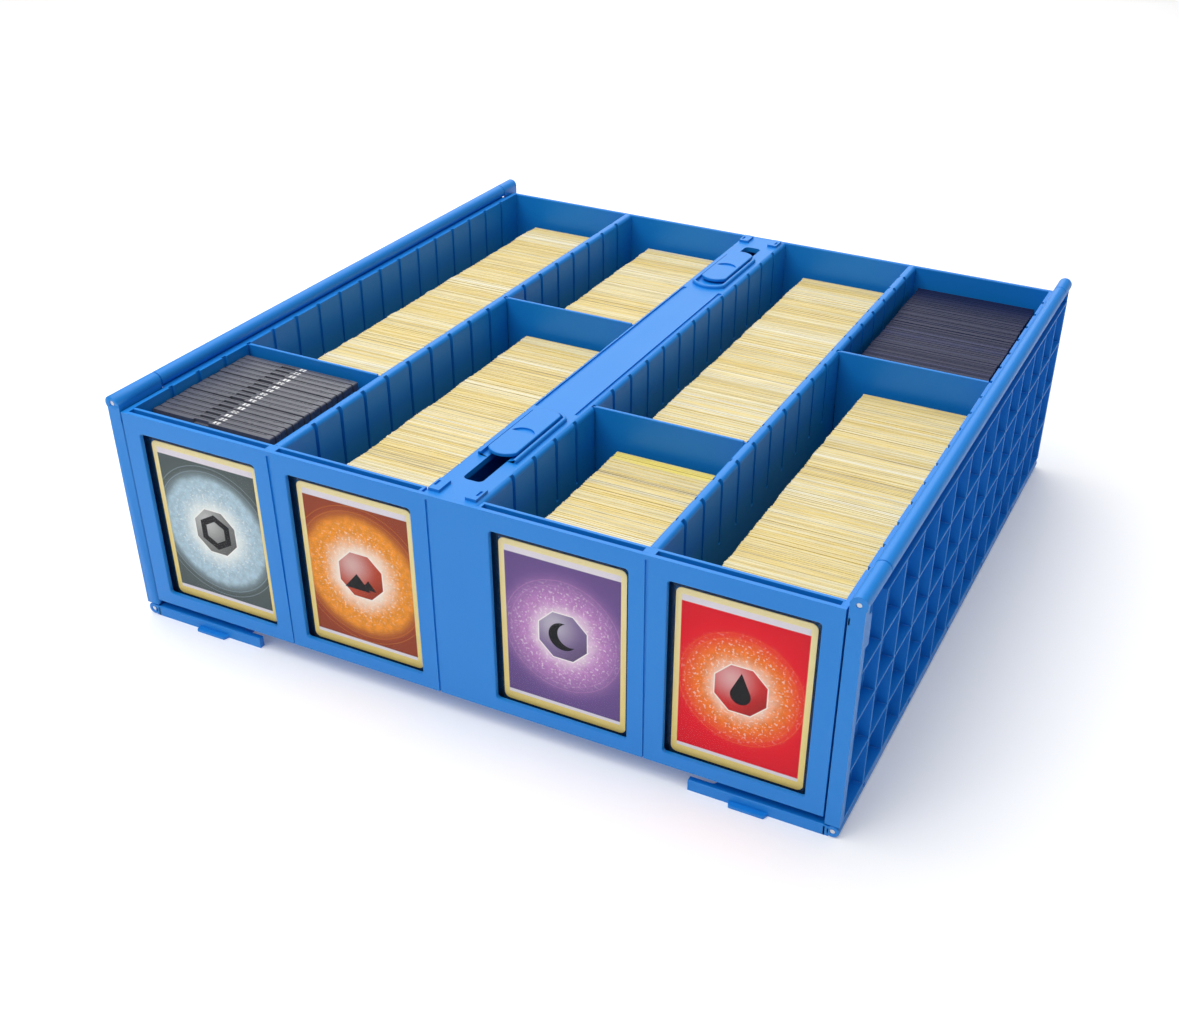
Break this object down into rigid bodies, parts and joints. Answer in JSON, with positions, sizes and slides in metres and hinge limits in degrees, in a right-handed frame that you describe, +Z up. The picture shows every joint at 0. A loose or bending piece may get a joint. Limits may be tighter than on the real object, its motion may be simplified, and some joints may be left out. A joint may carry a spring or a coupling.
{
  "type": "trading card storage bin",
  "caption": "Open tray with grooved card rows, latches on a middle spine, windowed front and two-leaf ribbed folding lids, shown opened and folded under the tray.",
  "frame": {"origin": "middle of the bounding box at the floor the folded flaps stand on", "axes": "+X to the right seen from the windowed front, across the rows and the longest side; +Y towards the back wall; +Z up, the shortest side"},
  "size_m": [0.3834, 0.381, 0.1256],
  "materials": {
    "blue_plastic": "satin",
    "white_nylon": "satin",
    "clear_plastic": "gloss",
    "card_grey": "gloss",
    "card_orange": "gloss",
    "card_purple": "gloss",
    "card_red": "gloss",
    "card_edges": "matt",
    "dark_grey_plastic": "gloss",
    "navy_sleeves": "satin"
  },
  "bodies": {
    "tray": {"floor_pan": "blue_plastic", "front_panel_1": "blue_plastic", "front_panel_2": "blue_plastic", "front_panel_3": "blue_plastic", "front_panel_4": "blue_plastic", "front_inner_wall": "blue_plastic", "front_slot_posts": "blue_plastic", "side_wall_left": "blue_plastic", "side_wall_right": "blue_plastic", "back_wall": "blue_plastic", "row_wall_left": "blue_plastic", "row_wall_right": "blue_plastic", "spine_wall_left": "blue_plastic", "spine_wall_right": "blue_plastic", "spine_cap": "blue_plastic", "hinge_rail_left": "blue_plastic", "hinge_rail_right": "blue_plastic", "hinge_pins_left": "white_nylon", "hinge_pins_right": "white_nylon"},
    "lid_left": {"lid_panel_left": "blue_plastic", "fold_pins_left": "white_nylon"},
    "lid_right": {"lid_panel_right": "blue_plastic", "fold_pins_right": "white_nylon"},
    "flap_left": {"lid_flap_left": "blue_plastic"},
    "flap_right": {"lid_flap_right": "blue_plastic"},
    "latch_front": {"latch_slider_front": "blue_plastic", "latch_clip_front": "blue_plastic"},
    "latch_rear": {"latch_slider_rear": "blue_plastic", "latch_clip_rear": "blue_plastic"},
    "divider_1": {"partition_1": "blue_plastic"},
    "window_card_1": {"clear_holder_1": "clear_plastic", "display_card_1": "card_grey"},
    "divider_2": {"partition_2": "blue_plastic"},
    "window_card_2": {"clear_holder_2": "clear_plastic", "display_card_2": "card_orange"},
    "divider_3": {"partition_3": "blue_plastic"},
    "window_card_3": {"clear_holder_3": "clear_plastic", "display_card_3": "card_purple"},
    "divider_4": {"partition_4": "blue_plastic"},
    "window_card_4": {"clear_holder_4": "clear_plastic", "display_card_4": "card_red"},
    "rigid_holders_row_1": {"rigid_holders_row_1": "dark_grey_plastic"},
    "card_stack_row_1_rear": {"card_stack_row_1_rear": "card_edges"},
    "card_stack_row_2_front": {"card_stack_row_2_front": "card_edges"},
    "card_stack_row_2_rear": {"card_stack_row_2_rear": "card_edges"},
    "card_stack_row_3_front": {"card_stack_row_3_front": "card_edges"},
    "card_stack_row_3_rear": {"card_stack_row_3_rear": "card_edges"},
    "card_stack_row_4_front": {"card_stack_row_4_front": "card_edges"},
    "sleeved_stack_row_4_rear": {"sleeved_stack_row_4_rear": "navy_sleeves"}
  },
  "joints": [
    {"name": "lid_left_hinge", "type": "hinge", "parent": "tray", "child": "lid_left", "pos_m": [-0.1878, 0, 0.1217], "axis": [0, 1, 0], "range_deg": [0, 270]},
    {"name": "lid_right_hinge", "type": "hinge", "parent": "tray", "child": "lid_right", "pos_m": [0.1878, 0, 0.1217], "axis": [0, -1, 0], "range_deg": [0, 270]},
    {"name": "flap_left_fold", "type": "hinge", "parent": "lid_left", "child": "flap_left", "pos_m": [-0.1878, 0, 0.0031], "axis": [0, 1, 0], "range_deg": [0, 90]},
    {"name": "flap_right_fold", "type": "hinge", "parent": "lid_right", "child": "flap_right", "pos_m": [0.1878, 0, 0.0031], "axis": [0, -1, 0], "range_deg": [0, 90]},
    {"name": "latch_front_slide", "type": "slide", "parent": "tray", "child": "latch_front", "axis": [0, -1, 0], "range_m": [0, 0.013]},
    {"name": "latch_rear_slide", "type": "slide", "parent": "tray", "child": "latch_rear", "axis": [0, 1, 0], "range_m": [-0.0065, 0.0065]},
    {"name": "divider_1_lift", "type": "slide", "parent": "tray", "child": "divider_1", "axis": [0, 0, -1], "range_m": [-0.11, 0]},
    {"name": "window_card_1_lift", "type": "slide", "parent": "tray", "child": "window_card_1", "axis": [0, 0, -1], "range_m": [-0.107, 0]},
    {"name": "divider_2_lift", "type": "slide", "parent": "tray", "child": "divider_2", "axis": [0, 0, -1], "range_m": [-0.11, 0]},
    {"name": "window_card_2_lift", "type": "slide", "parent": "tray", "child": "window_card_2", "axis": [0, 0, -1], "range_m": [-0.107, 0]},
    {"name": "divider_3_lift", "type": "slide", "parent": "tray", "child": "divider_3", "axis": [0, 0, -1], "range_m": [-0.11, 0]},
    {"name": "window_card_3_lift", "type": "slide", "parent": "tray", "child": "window_card_3", "axis": [0, 0, -1], "range_m": [-0.107, 0]},
    {"name": "divider_4_lift", "type": "slide", "parent": "tray", "child": "divider_4", "axis": [0, 0, -1], "range_m": [-0.11, 0]},
    {"name": "window_card_4_lift", "type": "slide", "parent": "tray", "child": "window_card_4", "axis": [0, 0, -1], "range_m": [-0.107, 0]},
    {"name": "rigid_holders_row_1_lift", "type": "slide", "parent": "tray", "child": "rigid_holders_row_1", "axis": [0, 0, -1], "range_m": [-0.11, 0]},
    {"name": "card_stack_row_1_rear_lift", "type": "slide", "parent": "tray", "child": "card_stack_row_1_rear", "axis": [0, 0, -1], "range_m": [-0.11, 0]},
    {"name": "card_stack_row_2_front_lift", "type": "slide", "parent": "tray", "child": "card_stack_row_2_front", "axis": [0, 0, -1], "range_m": [-0.11, 0]},
    {"name": "card_stack_row_2_rear_lift", "type": "slide", "parent": "tray", "child": "card_stack_row_2_rear", "axis": [0, 0, -1], "range_m": [-0.11, 0]},
    {"name": "card_stack_row_3_front_lift", "type": "slide", "parent": "tray", "child": "card_stack_row_3_front", "axis": [0, 0, -1], "range_m": [-0.11, 0]},
    {"name": "card_stack_row_3_rear_lift", "type": "slide", "parent": "tray", "child": "card_stack_row_3_rear", "axis": [0, 0, -1], "range_m": [-0.11, 0]},
    {"name": "card_stack_row_4_front_lift", "type": "slide", "parent": "tray", "child": "card_stack_row_4_front", "axis": [0, 0, -1], "range_m": [-0.11, 0]},
    {"name": "sleeved_stack_row_4_rear_lift", "type": "slide", "parent": "tray", "child": "sleeved_stack_row_4_rear", "axis": [0, 0, -1], "range_m": [-0.11, 0]}
  ]
}
